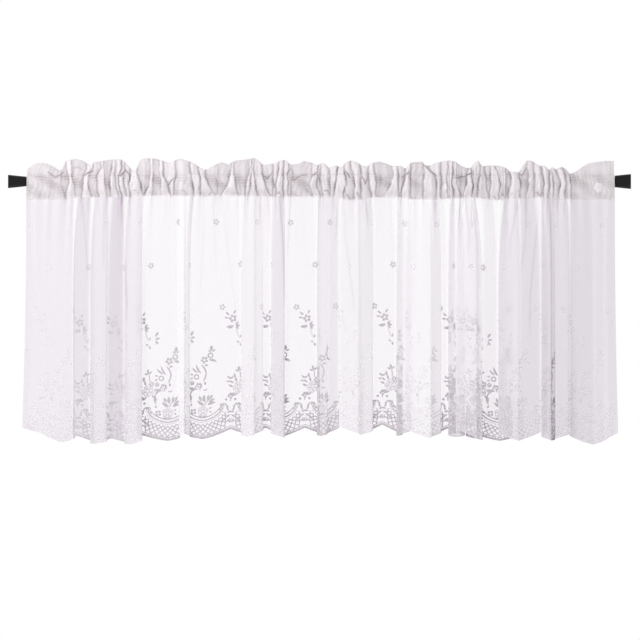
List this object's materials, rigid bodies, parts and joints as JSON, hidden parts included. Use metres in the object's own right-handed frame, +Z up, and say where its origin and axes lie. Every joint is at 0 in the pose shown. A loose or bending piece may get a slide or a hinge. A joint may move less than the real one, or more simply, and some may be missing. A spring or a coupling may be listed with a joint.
{
  "type": "lace valance on a rod",
  "caption": "Sheer white lace valance with a ruffled heading, a rod pocket and a scalloped floral hem, gathered in soft folds on a telescopic tension rod with tapered end caps.",
  "frame": {"origin": "the middle of the rod's axis, halfway between the outer faces of its two end caps", "axes": "+X along the rod, from the thin tube's end to the thick tube's end; -Y towards the room; +Z up"},
  "size_m": [0.9968, 0.0459, 0.458],
  "materials": {
    "lace": "sheer white polyester net with a denser woven floral lace border",
    "rod_paint": "white enamel, satin",
    "cap_rubber": "black, satin"
  },
  "bodies": {
    "root": {"valance": "lace", "rod_thick_tube": "rod_paint", "rod_thin_tube": "rod_paint", "cap_left": "cap_rubber", "cap_right": "cap_rubber"}
  },
  "joints": []
}
